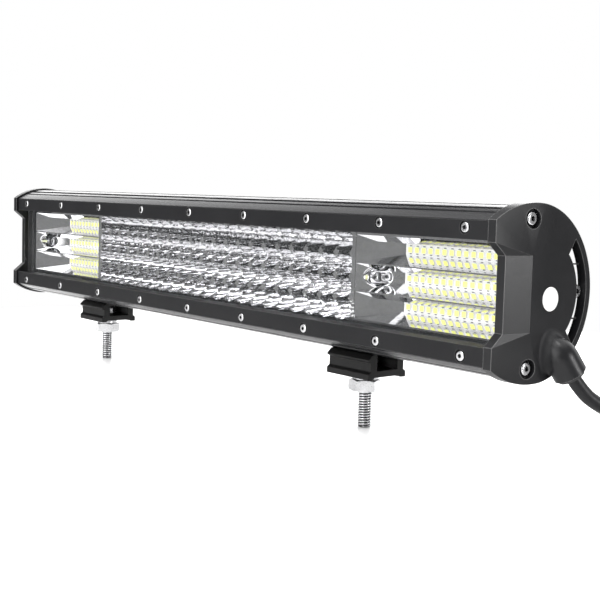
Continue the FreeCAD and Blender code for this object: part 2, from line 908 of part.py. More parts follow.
def checked_tube(name, route, radius):
    """A tube whose arcs and volume are printed, the volume against section times length."""
    path, radii = tube_path(route)
    solid = tube(route, radius)
    ratio = solid.Volume / (math.pi * radius**2 * path.Length)
    bends = ", ".join("%.1f" % r for r in radii)
    print("%s: %.0f mm, arcs of %s mm, volume ratio %.4f" % (name, path.Length, bends, ratio))
    return solid


coil_low_z = stud_end_z + tie_thickness + cable_radius
coil_high_z = coil_low_z + 2 * cable_radius


def cable_route():
    """From inside the grommet, down and back, and round to the top of the coil."""
    return [
        boss_end - boss_axis * grommet_depth,
        boss_end + boss_axis * cable_straight,
        Vector(278.6, 37.6, 8.6),
        Vector(284.0, 54.5, 1.4),
        Vector(289.5, 70.5, -2.8),
        Vector(300.2, 88.2, -6.1),
        Vector(319.0, 99.0, -8.4),
        Vector(340.0, 99.0, coil_high_z),
    ]


def ring_section(radius, low, high):
    """The rounded section of a layer of the coil, on its X side."""
    x, y = coil_centre
    corner = Vector(x + radius - cable_radius, y, low)
    points = [
        corner,
        corner + Vector(2 * cable_radius, 0, 0),
        corner + Vector(2 * cable_radius, 0, high - low),
        corner + Vector(0, 0, high - low),
    ]
    return Part.Face(Part.makePolygon(points + points[:1]))


def power_cable_coil():
    """The outer shape of the coil: a full lower turn with part of a turn lying on it."""
    centre = Vector(coil_centre[0], coil_centre[1], 0)
    up = Vector(0, 0, 1)
    low = coil_low_z - cable_radius
    lower = ring_section(coil_turn_radius, low, low + 2 * cable_radius)
    lower = lower.revolve(centre, up, 360)
    upper = ring_section(coil_turn_radius, low + 2 * cable_radius, low + 4 * cable_radius)
    upper = upper.revolve(centre, up, -coil_top_sweep)
    upper.rotate(centre, up, coil_top_start)
    return lower.fuse(upper).removeSplitter()


def cable_tie():
    """A strap round both layers of the coil."""
    centre = Vector(coil_centre[0], coil_centre[1], 0)
    low = coil_low_z - cable_radius
    inner = mid_box(
        2 * cable_radius,
        tie_width,
        4 * cable_radius,
        centre + Vector(coil_turn_radius, 0, low + 2 * cable_radius),
    )
    outer = mid_box(
        2 * cable_radius + 2 * tie_thickness,
        tie_width,
        4 * cable_radius + 2 * tie_thickness,
        centre + Vector(coil_turn_radius, 0, low + 2 * cable_radius),
    )
    tie = outer.cut(inner)
    tie.rotate(centre, Vector(0, 0, 1), tie_angle)
    return tie


def tail_points():
    """The straight end of the cable, from where it leaves the coil to the plug's boot."""
    angle = math.radians(coil_leave_angle)
    out = Vector(math.cos(angle), math.sin(angle), 0)
    along = Vector(math.sin(angle), -math.cos(angle), 0)
    start = Vector(coil_centre[0], coil_centre[1], coil_low_z) + out * coil_turn_radius
    middle = start + along * (tail_length / 2)
    end = start + along * tail_length + Vector(0, 0, tail_rise)
    return [start, middle, end]


def plug_frame():
    """Where the plug's boot starts and which way the plug points."""
    start, middle, end = tail_points()
    ahead = end - middle
    ahead.z = 0
    ahead.normalize()
    return end, ahead


def power_plug():
    """A two-pole waterproof plug: a tapered boot, a body with a latch ridge, and a nose."""
    start, ahead = plug_frame()
    boot = Part.makeCone(
        cable_radius + plug_boot_clearance,
        plug_boot_radius,
        plug_boot_length,
        Vector(0, 0, 0),
        Vector(0, 0, 1),
    )
    body_middle = plug_boot_length + plug_body_length / 2
    body = mid_box(
        plug_body_width, plug_body_height, plug_body_length, Vector(0, 0, body_middle)
    )
    body = body.makeFillet(plug_edge_fillet, [e for e in body.Edges if e.Length > 20])
    nose_start = plug_boot_length + plug_body_length
    nose = mid_box(
        plug_nose_width,
        plug_nose_height,
        plug_nose_length,
        Vector(0, 0, nose_start + plug_nose_length / 2),
    )
    latch = mid_box(*plug_latch, Vector(0, -plug_body_height / 2, body_middle))
    holes = []
    for side in (-1, 1):
        mouth = Vector(side * plug_pin_spacing / 2, 0, nose_start + plug_nose_length)
        holes.append(
            Part.makeCylinder(plug_pin_radius, plug_pin_depth, mouth, Vector(0, 0, -1))
        )
    plug = boot.fuse([body, nose, latch]).cut(holes)
    # The plug lies flat: its own -Y side faces up.
    across = Vector(0, 0, 1).cross(ahead)
    turn = FreeCAD.Rotation(across, Vector(0, 0, -1), ahead, "ZYX")
    plug.Placement = FreeCAD.Placement(start, turn)
    return plug


def grommet():
    """The rubber grommet in the boss, round the cable."""
    inwards = boss_axis * -1
    body = Part.makeCylinder(grommet_radius, grommet_depth, boss_end, inwards)
    flange = Part.makeCylinder(
        grommet_flange_radius, grommet_flange_thickness, boss_end, boss_axis
    )
    start = boss_end + inwards * grommet_depth
    length = grommet_depth + grommet_flange_thickness
    hole = Part.makeCylinder(cable_radius, length, start, boss_axis)
    return body.fuse(flange).cut(hole).removeSplitter()


def lead_route():
    """The supply lead, from the cable's end through the cap's pocket to the right-hand board."""
    level = board_face_y - lead_radius
    start = boss_end - boss_axis * grommet_depth
    knee = start - boss_axis * lead_straight
    corner = Vector(cap_inner_x + lead_bend_inset, level, axis_z - lead_bend_drop)
    end = Vector(half_length - lead_end_inset, level, axis_z - lead_end_drop)
    return [start, knee, corner, end]


# ---- Brackets and their bolts ----
def bracket(x):
    """A slider with two hooks above, a channel for the bolt head and two flared feet."""
    half = bracket_half_width
    web = half - bracket_web_inset
    lip_low = bracket_top - bracket_lip_fall - bracket_lip_edge
    foot_top = bracket_bottom + bracket_foot_face
    hook_low = bracket_top + slide_gap + lip_thickness + slide_gap
    hook_high = hook_low + hook_height
    foot_inner = half - bracket_foot_width
    outline = [
        (foot_inner - bracket_foot_drop, floor_under),
        (foot_inner, bracket_bottom),
        (half, bracket_bottom),
        (half, foot_top),
        (web, foot_top + 1.2),
        (web, lip_low - 0.7),
        (half, lip_low),
        (half, bracket_top - bracket_lip_fall),
        (half - bracket_lip_width, bracket_top),
        (bracket_half_cavity + hook_wall, bracket_top),
        (bracket_half_cavity + hook_wall, hook_low),
        (bracket_half_cavity + hook_wall + hook_reach, hook_low),
        (bracket_half_cavity + hook_wall + hook_reach, hook_high),
        (bracket_half_cavity, hook_high),
        (bracket_half_cavity, floor_top),
    ]
    ends = (x - bracket_length / 2, x + bracket_length / 2)
    body = section(mirrored(outline), ends)
    hole = Part.makeCylinder(
        stud_radius + bolt_hole_clearance,
        bracket_floor,
        Vector(x, 0, axis_z + floor_under),
    )
    return body.cut(hole)


def mounting_bolt(x):
    """A hexagon bolt, head up in the bracket's channel; its free lower end is the mounting stud."""
    head = hexagon(bolt_head_across_flats, bolt_head_height)
    crown = Part.makeCone(
        bolt_head_across_flats / 2 + bolt_head_height * 1.4,
        bolt_head_across_flats / 2,
        bolt_head_height,
    )
    head = head.common(crown)
    held_length = axis_z + floor_top
    down = Vector(0, 0, -1)
    held = Part.makeCylinder(thread_core_radius, held_length, Vector(0, 0, 0), down)
    stud = Part.makeCylinder(
        stud_radius, bolt_length - held_length, Vector(0, 0, -held_length), down
    )
    bolt = head.fuse([held, stud])
    bolt.translate(Vector(x, 0, held_length))
    return bolt


def washer(x, low, thickness, outer_radius):
    centre = Vector(x, 0, low)
    disc = Part.makeCylinder(outer_radius, thickness, centre)
    return disc.cut(Part.makeCylinder(stud_radius + washer_clearance, thickness, centre))


def spring_washer(x, low):
    """A washer with a split across one side."""
    ring = washer(x, low, spring_washer_thickness, spring_washer_radius)
    reach = spring_washer_radius + 1
    split = Part.makeBox(1.0, reach, spring_washer_thickness + 2)
    split.translate(Vector(x - 0.5, 0, low - 1))
    split.rotate(Vector(x, 0, low), Vector(0, 0, 1), 110)
    return ring.cut(split)


def mounting_nut(x):
    nut = hexagon(nut_across_flats, nut_height)
    corner = nut_across_flats / math.sqrt(3)
    flat = nut_across_flats / 2
    slope = (corner - flat) / 0.6
    for low, high in ((flat, flat + slope * nut_height), (flat + slope * nut_height, flat)):
        nut = nut.common(Part.makeCone(low, high, nut_height))
    nut = nut.cut(Part.makeCylinder(thread_core_radius, nut_height))
    nut.rotate(Vector(0, 0, 0), Vector(0, 0, 1), nut_turn)
    nut.translate(Vector(x, 0, 0))
    return nut


# ---- Writing the sub-parts ----
save("housing", housing())
for side, place in ((1, "top"), (-1, "bottom")):
    save(place + "_bezel_rail", bezel_rail(side))
    save(place + "_rail_screws", rail_screws(side))
save("lens", lens())
save("lens_gasket", lens_gasket())

save("center_reflector", centre_reflector())
save("right_reflector", side_reflector().cut(lead_notch()))
save("left_reflector", mirror_x(side_reflector()))
save("center_led_board", led_board((-module_split + board_gap, module_split - board_gap)))
save("right_led_board", led_board((module_split, half_length - board_gap)))
save("left_led_board", led_board((-half_length + board_gap, -module_split)))
save("center_leds", group([led(x, z) for x, z in cup_places()]))
save("right_leds", group([led(x, z) for x, z in side_led_places()]))
save("left_leds", group([led(-x, z) for x, z in side_led_places()]))
save("reflector_screws", reflector_screws())
save("board_links", board_links())

save("right_end_cap", right_end_cap())
save("left_end_cap", mirror_x(end_cap()))
save("right_cap_gasket", cap_gasket())
save("left_cap_gasket", mirror_x(cap_gasket()))
save("right_cap_screws", cap_screws())
save("left_cap_screws", mirror_x(cap_screws()))
save("label_disc", label_disc())

save("cable_grommet", grommet())
save("power_cable_coil", power_cable_coil())
for name, route, radius in (
    ("supply_lead", lead_route(), lead_radius),
    ("power_cable", cable_route(), cable_radius),
    ("power_cable_tail", tail_points(), cable_radius),
):
    save(name, checked_tube(name, route, radius))
save("cable_tie", cable_tie())
save("power_plug", power_plug())

for side, place in ((-1, "left"), (1, "right")):
    x = side * stud_spacing / 2
    save(place + "_bracket", bracket(x))
    save(place + "_mount_bolt", mounting_bolt(x))
    save(place + "_mount_nut", mounting_nut(x))
    save(place + "_spring_washer", spring_washer(x, nut_height))
    flat_low = nut_height + spring_washer_thickness
    save(place + "_flat_washer", washer(x, flat_low, flat_washer_thickness, flat_washer_radius))
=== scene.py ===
import json
import math

import bmesh
import bpy
from mathutils import Matrix, Vector


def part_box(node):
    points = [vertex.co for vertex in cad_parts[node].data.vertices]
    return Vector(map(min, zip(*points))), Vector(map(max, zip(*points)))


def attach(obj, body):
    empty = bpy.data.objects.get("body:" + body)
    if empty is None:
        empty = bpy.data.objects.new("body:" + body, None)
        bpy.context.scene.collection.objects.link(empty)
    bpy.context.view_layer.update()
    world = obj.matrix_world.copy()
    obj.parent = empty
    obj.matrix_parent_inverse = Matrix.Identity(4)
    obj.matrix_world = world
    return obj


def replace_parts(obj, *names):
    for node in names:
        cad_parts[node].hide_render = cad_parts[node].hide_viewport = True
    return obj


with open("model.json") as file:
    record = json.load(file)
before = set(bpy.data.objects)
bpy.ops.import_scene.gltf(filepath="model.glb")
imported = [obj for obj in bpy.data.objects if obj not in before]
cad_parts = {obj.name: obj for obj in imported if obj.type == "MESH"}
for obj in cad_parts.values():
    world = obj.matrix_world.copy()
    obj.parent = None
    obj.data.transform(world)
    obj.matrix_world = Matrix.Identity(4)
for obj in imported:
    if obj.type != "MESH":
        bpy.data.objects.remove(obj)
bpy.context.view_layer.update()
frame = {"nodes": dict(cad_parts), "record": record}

# Lengths below are in millimetres and angles in degrees, unless a comment says otherwise.
# MM turns a length into Blender's metres. +X runs along the bar to the end with the cable,
# the lamp shines towards -Y, and +Z is up.
MM = 0.001

# ---- Taken from the frame ----
NODE_BODY = {}
for body_name, body_nodes in frame["record"]["behaviour"]["bodies"].items():
    for node_name in body_nodes:
        NODE_BODY[node_name] = body_name
NODE_SLOT = {part["node"]: part["material_slot"] for part in frame["record"]["subparts"]}

# Heights in metres: the studs' ends, where the floor is, and the middle of the lens.
FLOOR_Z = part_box("right_mount_bolt")[0].z
AXIS_Z = (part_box("lens")[0].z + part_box("lens")[1].z) / 2

# ---- Camera ----
CAMERA_PLACE = (593.4, -418.5, 110.05)
CAMERA_HEADING = 50.46
CAMERA_DIP = 4.37
CAMERA_ROLL = 1.55
CAMERA_LENS = 64.96
CAMERA_SENSOR = 36.0
CAMERA_SHIFT = -0.0382  # a share of the picture's width
CAMERA_NEAR = 10.0

# ---- Light and floor ----
BACKDROP = 1.0  # what the camera sees behind the object
AMBIENT = 0.22
# Bright panels around the object: azimuths, elevations, radiance, and the width of the soft edge.
PANELS = [
    ((-180, 180), (55, 91), 2.2, 12),
    ((118, 178), (4, 20), 3.0, 4),
    ((154, 180), (26, 36), 0.9, 8),
    ((-118, -52), (17, 30), 3.4, 4),
    ((-118, -52), (41, 58), 3.4, 4),
    ((-114, -74), (-14, 12), 4.5, 12),
    ((72, 128), (12, 46), 1.8, 12),
]
SUN_DIRECTION = (-0.30, 0.25, -1.0)
SUN_STRENGTH = 0.8
SUN_WIDTH = 12
# The side light's place, aim and size are in metres.
SIDE_LIGHT_PLACE = (1.20, 0.36, 0.17)
SIDE_LIGHT_AIM = (0.26, 0, 0.08)
SIDE_LIGHT_SIZE = (0.27, 0.36)
SIDE_LIGHT_WATTS = 5.5
FLOOR_RADIUS = 0.5  # metres
FLOOR_SIDES = 96

# ---- Power cable ----
CABLE_DIAMETER = 7.5
CABLE_ROUTE = [
    (268.38, 17.57, 33.69),
    (273.10, 26.83, 17.19),
    (278.60, 37.60, 8.60),
    (284.00, 54.50, 1.40),
    (289.50, 70.50, -2.80),
    (300.20, 88.20, -6.10),
    (319.00, 99.00, -8.40),
    (340.00, 99.00, -8.85),
]
CABLE_FACETS = 6
CABLE_STEPS = 8
COIL_CENTRE = (330.0, 58.0)
COIL_RADIUS = 41.0
COIL_START = 60.0
COIL_END = -360.0
COIL_POINTS_PER_TURN = 16
# The coil's end passes under its start: the line sinks to the floor over this part of the turn.
SINK_START = -60.0
SINK_SPAN = 120.0
# The line ends inside the plug, a little above where the cable lies on the floor.
PLUG_DEPTH = 3.0
PLUG_RISE = 2.4

# ---- Cable boss of the right end cap: a straight end, with a dome behind it ----
BOSS_RADIUS = 8.5
BOSS_STRAIGHT = 9.0
BOSS_DOME = 13.0
GROMMET_DEPTH = 10.0  # from the boss's end back to the cable's first point
OUTLINE_HALF_STEPS = 72
OUTLINE_REACH = 40.0
OUTLINE_ERROR = 0.001
CAP_MARGIN = 0.2
# The fillet round the boss, which narrows towards its two ends.
ROOT_WIDTH = 5.0
ROOT_FADE = 7.0
ROOT_END_SHARE = 0.25
ROOT_CLIMB_STEPS = 8
ROOT_SEGMENTS = 10
ROOT_PULL = 0.6  # how hollow its section is, as a share of the width
ROOT_EDGE_DEPTH = 0.04  # its edges lie this far under the surfaces that it joins
ROOT_CORE_DEPTH = 0.5
ROOT_CORNER = 60.0  # the smallest angle that counts as an edge

# ---- Centre optic ----
CENTRE_COLUMNS = 21
CENTRE_ROWS = 4
CUP_MOUTH = 7.6
CUP_THROAT = 2.4
CUP_RINGS = 8
CUP_SPOKES = (3, 5, 4)  # in a quarter turn: before, between and after the two marked angles
CUP_CORNER = 24.0  # the smallest angle that counts as an edge
WALL_DROP = 4.5  # the height of the frame's inner wall round the field of cups

# ---- Side optics ----
SIDE_COLUMNS = 13
SIDE_ROWS = 3
TROUGH_PITCH = 16.0
# A trough's half height at its mouth and at its back, and that of its upper wall at the bend.
TROUGH_MOUTH = 7.6
TROUGH_THROAT = 3.0
TROUGH_BEND_HEIGHT = 4.0
TROUGH_BEND = 12.0  # from the back forward to the bend
SIDE_EDGE_WIDTH = 0.4
SIDE_EDGE_SEGMENTS = 3
WELL_PLACES = (154.6, 246.4)  # the screw wells' distances from the middle of the bar
WELL_RADIUS = 5.0
LIP_WIDTH = 1.2
LIP_SEGMENTS = 5
# The normal of a slanted end wall has an X part between the first two and a Z part below the third.
SLANT_LEAST = 0.3
SLANT_MOST = 0.95
SLANT_TILT = 0.05

# ---- LEDs; heights are above the board ----
LED_SIZE = 2.8  # the CAD node's own squares, which the grid's places are read from
LED_BODY = 3.2
LED_SHOULDER = 0.55
LED_CHAMFER = 0.08
LED_TOP = 0.62
PHOSPHOR_SIZE = 3.0
PHOSPHOR_CUT = 0.35
PHOSPHOR_TOP = 0.70
PHOSPHOR_TOP_SHARE = 0.8
PAD_OFFSET = 2.2
PAD_SIZE = (1.7, 0.06, 0.55)

# ---- Mounting bolts ----
STUD_RADIUS = 4.0
THREAD_ROOT = 3.2
THREAD_PITCH = 1.5
THREAD_SIDES = 40
THREAD_ROWS = 8  # per turn
THREAD_FLANK = 2.9  # how steeply the thread rises to its crest
THREAD_CORNER = 25.0  # the smallest angle that counts as an edge
TIP_TAPER = 1.2
CORE_RADIUS = 3.3
HEAD_SIDES = 6
HEAD_HEIGHT = 5.3
HEAD_OVERLAP = 0.2
HEAD_CHAMFER = 1.0
HEAD_TOP_SHARE = 0.90

# ---- Meshes: the gaps and the angle below which points and faces count as one ----
WELD_GAP = 0.002
CUP_WELD_GAP = 0.003
CUT_GAP = 0.001
SAME_PLACE = 0.01
NEAR_PLACE = 0.05
SAME_PLANE = 0.4
TINY = 1e-9  # a sine or cosine that counts as zero

# The smallest angle that counts as an edge, and the nodes where that would lose one.
USUAL_CORNER = 30.0
CORNER_ANGLES = {
    "left_end_cap": 10.5,
    "right_end_cap": 10.5,
    "left_reflector": 15.0,
    "right_reflector": 15.0,
}

# The nodes that are shown as a copy with rounded edges, and the width of the rounding.
EDGE_WIDTHS = {
    "housing": 0.3,
    "top_bezel_rail": 0.35,
    "bottom_bezel_rail": 0.35,
    "left_end_cap": 0.5,
    "right_end_cap": 0.5,
    "left_bracket": 0.35,
    "right_bracket": 0.35,
    "left_mount_nut": 0.2,
    "right_mount_nut": 0.2,
    "left_flat_washer": 0.2,
    "right_flat_washer": 0.2,
    "left_spring_washer": 0.2,
    "right_spring_washer": 0.2,
    "cable_grommet": 0.4,
    "cable_tie": 0.2,
    "power_plug": 0.4,
    "label_disc": 0.1,
}
EDGE_SEGMENTS = 2

# ---- Materials; the reliefs and the radii are in millimetres ----
BLEND_START = 0.35
BLEND_END = 0.65
NOISE_LOW = 0.3
NOISE_HIGH = 0.7
# A painted highlight along edges, where the rounded normal leans away from the true one.
HIGHLIGHT_SAMPLES = 6
HIGHLIGHT_START = 0.998  # cosines of the angle between the rounded and the true surface
HIGHLIGHT_FULL = 0.96
# Painted shade in the hollows of bright metal, from ambient occlusion.
HOLLOW_SAMPLES = 8
HOLLOW_REACH = 1.5
HOLLOW_DARK = 0.45
HOLLOW_UNSHADED = 0.80
HOLLOW_SHADE_COLOUR = (0.02, 0.02, 0.02, 1)


# ---- Shared helpers ----
def new_object(name, data):
    """A new object in the scene."""
    made = bpy.data.objects.new(name, data)
    bpy.context.scene.collection.objects.link(made)
    return made


def circle(x, y, z, radius, sides):
    """The corners of a level regular polygon, which starts towards +X."""
    turns = [2 * math.pi * k / sides for k in range(sides)]
    return [(x + radius * math.cos(turn), y + radius * math.sin(turn), z) for turn in turns]


# ---- Camera, light and floor ----
def place_camera():
    """The photograph's view."""
    camera = new_object("camera", bpy.data.cameras.new("camera"))
    turn = Matrix.Rotation(math.radians(CAMERA_HEADING), 4, "Z")
    turn = turn @ Matrix.Rotation(math.radians(90 - CAMERA_DIP), 4, "X")
    turn = turn @ Matrix.Rotation(math.radians(CAMERA_ROLL), 4, "Z")
    camera.matrix_world = Matrix.Translation(Vector(CAMERA_PLACE) * MM) @ turn
    camera.data.lens = CAMERA_LENS
    camera.data.sensor_width = CAMERA_SENSOR
    camera.data.shift_y = CAMERA_SHIFT
    camera.data.clip_start = CAMERA_NEAR * MM
    bpy.context.scene.camera = camera


def studio_world():
    """Dim light all round with bright panels in it; to the camera the backdrop is plain white."""
    world = bpy.data.worlds.new("studio")
    bpy.context.scene.world = world
    world.use_nodes = True
    nodes, links = world.node_tree.nodes, world.node_tree.links
    place = nodes.new("ShaderNodeTexCoord")
    split = nodes.new("ShaderNodeSeparateXYZ")
    links.new(place.outputs["Generated"], split.inputs["Vector"])

    def math_node(operation, *values):
        """A math node's result; each value is a socket or a number."""
        node = nodes.new("ShaderNodeMath")
        node.operation = operation
        for socket, value in zip(node.inputs, values):
            if isinstance(value, (int, float)):
                socket.default_value = value
            else:
                links.new(value, socket)
        return node.outputs["Value"]

    def step(value, start, end):
        """Rises smoothly from 0 at the start angle to 1 at the end angle."""
        remap = nodes.new("ShaderNodeMapRange")
        remap.interpolation_type = "SMOOTHSTEP"
        remap.inputs["From Min"].default_value = math.radians(start)
        remap.inputs["From Max"].default_value = math.radians(end)
        links.new(value, remap.inputs["Value"])
        return remap.outputs["Result"]

    def within(value, span, edge):
        """1 inside a span of angles, which fades to 0 over the edge's width outside it."""
        rise = step(value, span[0] - edge, span[0])
        fall = step(value, span[1] + edge, span[1])
        return math_node("MULTIPLY", rise, fall)

    azimuth = math_node("ARCTAN2", split.outputs["Y"], split.outputs["X"])
    elevation = math_node("ARCSINE", split.outputs["Z"])
    total = AMBIENT
    for azimuths, elevations, radiance, edge in PANELS:
        inside = math_node(
            "MULTIPLY", within(azimuth, azimuths, edge), within(elevation, elevations, edge)
        )
        total = math_node("ADD", math_node("MULTIPLY", inside, radiance), total)
    seen = nodes.new("ShaderNodeLightPath")
    blend = nodes.new("ShaderNodeMix")
    blend.data_type = "FLOAT"
    links.new(seen.outputs["Is Camera Ray"], blend.inputs["Factor"])
    links.new(total, blend.inputs["A"])
    blend.inputs["B"].default_value = BACKDROP
    links.new(blend.outputs["Result"], nodes["Background"].inputs["Strength"])
    nodes["Background"].inputs["Color"].default_value = (1, 1, 1, 1)


def far_light():
    """A soft light from far above."""
    data = bpy.data.lights.new("far_light", "SUN")
    data.energy = SUN_STRENGTH
    data.angle = math.radians(SUN_WIDTH)
    light = new_object("far_light", data)
    light.rotation_euler = Vector(SUN_DIRECTION).to_track_quat("-Z", "Y").to_euler()


def side_light():
    """A softbox that brightens the end with the cable; the camera doesn't see it."""
    data = bpy.data.lights.new("side", "AREA")
    data.shape = "RECTANGLE"
    data.size, data.size_y = SIDE_LIGHT_SIZE
    data.energy = SIDE_LIGHT_WATTS
    light = new_object("side", data)
    light.location = SIDE_LIGHT_PLACE
    light.visible_camera = False
    direction = Vector(SIDE_LIGHT_AIM) - Vector(SIDE_LIGHT_PLACE)
    light.rotation_euler = direction.to_track_quat("-Z", "Y").to_euler()


def pale_floor():
    """A round floor at the height of the studs' ends."""
    mesh = bpy.data.meshes.new("floor")
    mesh.from_pydata(circle(0, 0, FLOOR_Z, FLOOR_RADIUS, FLOOR_SIDES), [], [range(FLOOR_SIDES)])
    floor = new_object("floor", mesh)
    floor.data.materials.append(floor_paint())


def studio():
    """The light, the floor, and colours shown as they are."""
    studio_world()
    far_light()
    side_light()
    pale_floor()
    bpy.context.scene.view_settings.view_transform = "Standard"


# ---- Material helper ----
class Finish:
    """A node material in the making, driven by noise over the object's own coordinates."""

    def __init__(self, name):
        self.material = bpy.data.materials.new(name)
        self.material.use_nodes = True
        self.nodes = self.material.node_tree.nodes
        self.links = self.material.node_tree.links
        self.shader = self.nodes["Principled BSDF"]

    def link(self, value, socket):
        """Drives one of the shader's sockets."""
        self.links.new(value, self.shader.inputs[socket])

    def fix(self, socket, value):
        """Sets one of the shader's sockets."""
        self.shader.inputs[socket].default_value = value

    def noise(self, grains, detail=3.0, stretch=(1, 1, 1)):
        """Noise with a number of grains in a metre."""
        place = self.nodes.new("ShaderNodeTexCoord")
        mapping = self.nodes.new("ShaderNodeMapping")
        mapping.inputs["Scale"].default_value = stretch
        texture = self.nodes.new("ShaderNodeTexNoise")
        texture.inputs["Scale"].default_value = grains
        texture.inputs["Detail"].default_value = detail
        self.links.new(place.outputs["Object"], mapping.inputs["Vector"])
        self.links.new(mapping.outputs["Vector"], texture.inputs["Vector"])
        return texture.outputs["Fac"]

    def between(self, value, low, high):
        """A blend of two colours by a value."""
        ramp = self.nodes.new("ShaderNodeValToRGB")
        stops = zip(ramp.color_ramp.elements, (BLEND_START, BLEND_END), (low, high))
        for stop, position, colour in stops:
            stop.position = position
            stop.color = (*colour, 1)
        self.links.new(value, ramp.inputs["Fac"])
        return ramp.outputs["Color"]

    def roughen(self, value, low, high):
        """Drives the roughness from low to high over the usual range of noise."""
        remap = self.nodes.new("ShaderNodeMapRange")
        remap.inputs["From Min"].default_value = NOISE_LOW
        remap.inputs["From Max"].default_value = NOISE_HIGH
        remap.inputs["To Min"].default_value = low
        remap.inputs["To Max"].default_value = high
        self.links.new(value, remap.inputs["Value"])
        self.link(remap.outputs["Result"], "Roughness")

    def relief(self, value, height, strength):
        """Relief of a height in millimetres."""
        bump = self.nodes.new("ShaderNodeBump")
        bump.inputs["Distance"].default_value = height * MM
        bump.inputs["Strength"].default_value = strength
        self.links.new(value, bump.inputs["Height"])
        self.link(bump.outputs["Normal"], "Normal")

    def mixed(self, factor, first, second):
        """A mix of two colours, each a socket or a fixed colour."""
        blend = self.nodes.new("ShaderNodeMix")
        blend.data_type = "RGBA"
        self.links.new(factor, blend.inputs["Factor"])
        for socket, colour in (("A", first), ("B", second)):
            if isinstance(colour, tuple):
                blend.inputs[socket].default_value = colour
            else:
                self.links.new(colour, blend.inputs[socket])
        return blend.outputs["Result"]

    def edge_highlight(self, radius, tone):
        """Paints a highlight along the edges: the base colour turns light grey where the surface
        turns.
        """
        colour = self.shader.inputs["Base Color"].links[0].from_socket
        round_off = self.nodes.new("ShaderNodeBevel")
        round_off.samples = HIGHLIGHT_SAMPLES
        round_off.inputs["Radius"].default_value = radius * MM
        face = self.nodes.new("ShaderNodeNewGeometry")
        turn = self.nodes.new("ShaderNodeVectorMath")
        turn.operation = "DOT_PRODUCT"
        self.links.new(round_off.outputs["Normal"], turn.inputs[0])
        self.links.new(face.outputs["Normal"], turn.inputs[1])
        edge_lit = self.nodes.new("ShaderNodeMapRange")
        edge_lit.inputs["From Min"].default_value = HIGHLIGHT_START
        edge_lit.inputs["From Max"].default_value = HIGHLIGHT_FULL
        self.links.new(turn.outputs["Value"], edge_lit.inputs["Value"])
        highlight_grey = (tone, tone, tone, 1)
        self.link(self.mixed(edge_lit.outputs["Result"], colour, highlight_grey), "Base Color")


# ---- Materials ----
def floor_paint():
    """The pale satin floor."""
    finish = Finish("pale_floor")
    tone = finish.noise(grains=3.0)
    finish.link(finish.between(tone, (0.86, 0.86, 0.86), (0.90, 0.90, 0.90)), "Base Color")
    finish.fix("Roughness", 0.30)
    return finish.material


def black_coat(name, low, high, rough, grains, gloss, stretch=(1, 1, 1), relief=0.05, edge_highlight=None):
    """A black finish with a fine grain; edge_highlight is the radius and the grey of a painted
    highlight along its edges.
    """
    finish = Finish(name)
    fine = finish.noise(grains, detail=4.0, stretch=stretch)
    broad = finish.noise(grains=25.0)
    finish.link(finish.between(broad, low, high), "Base Color")
    finish.roughen(fine, *rough)
    finish.fix("Specular IOR Level", gloss)
    finish.relief(fine, relief, strength=0.35)
    if edge_highlight:
        finish.edge_highlight(*edge_highlight)
    return finish.material


def cast_coat(name, rough, gloss, edge_highlight=None):
    """The powder coat of the cast end caps."""
    return black_coat(
        name, (0.007, 0.007, 0.008), (0.011, 0.011, 0.012), rough,
        grains=1400.0, gloss=gloss, relief=0.08, edge_highlight=edge_highlight,
    )


def bright_metal(name, low, high, rough):
    """Zinc-plated steel, with painted shade in its hollows from ambient occlusion."""
    finish = Finish(name)
    fine = finish.noise(grains=1200.0, detail=4.0)
    broad = finish.noise(grains=120.0)
    # Painted shade: ambient occlusion darkens the sockets and thread roots.
    hollow = finish.nodes.new("ShaderNodeAmbientOcclusion")
    hollow.samples = HOLLOW_SAMPLES
    hollow.inputs["Distance"].default_value = HOLLOW_REACH * MM
    finish.links.new(finish.between(broad, low, high), hollow.inputs["Color"])
    unshaded = finish.nodes.new("ShaderNodeMapRange")
    unshaded.inputs["From Min"].default_value = HOLLOW_DARK
    unshaded.inputs["From Max"].default_value = HOLLOW_UNSHADED
    finish.links.new(hollow.outputs["AO"], unshaded.inputs["Value"])
    tone = finish.mixed(unshaded.outputs["Result"], HOLLOW_SHADE_COLOUR, hollow.outputs["Color"])
    finish.link(tone, "Base Color")
    finish.roughen(fine, *rough)
    finish.fix("Metallic", 1.0)
    finish.relief(fine, height=0.02, strength=0.3)
    return finish.material


def silvering(name, height):
    """Vapour-coated plastic with a moulded ripple of a height, drawn out along the bar."""
    finish = Finish(name)
    ripple = finish.noise(grains=420.0, detail=2.0, stretch=(0.4, 1, 1))
    finish.link(finish.between(ripple, (0.86, 0.86, 0.87), (0.93, 0.93, 0.94)), "Base Color")
    finish.roughen(ripple, low=0.02, high=0.06)
    finish.fix("Metallic", 1.0)
    finish.relief(ripple, height, strength=0.4)
    return finish.material


def clear_lens():
    """Polycarbonate with a trace of haze."""
    finish = Finish("clear_polycarbonate")
    haze = finish.noise(grains=60.0, detail=2.0)
    finish.link(finish.between(haze, (0.22, 0.23, 0.24), (0.30, 0.31, 0.32)), "Base Color")
    finish.roughen(haze, low=0.02, high=0.05)
    finish.fix("IOR", 1.58)
    finish.fix("Alpha", 0.06)
    return finish.material


def plain(name, low, high, rough, grains=400.0):
    """A surface that is a little uneven in colour, gloss and relief."""
    finish = Finish(name)
    grain = finish.noise(grains)
    finish.link(finish.between(grain, low, high), "Base Color")
    finish.roughen(grain, *rough)
    finish.relief(grain, height=0.02, strength=0.4)
    return finish.material


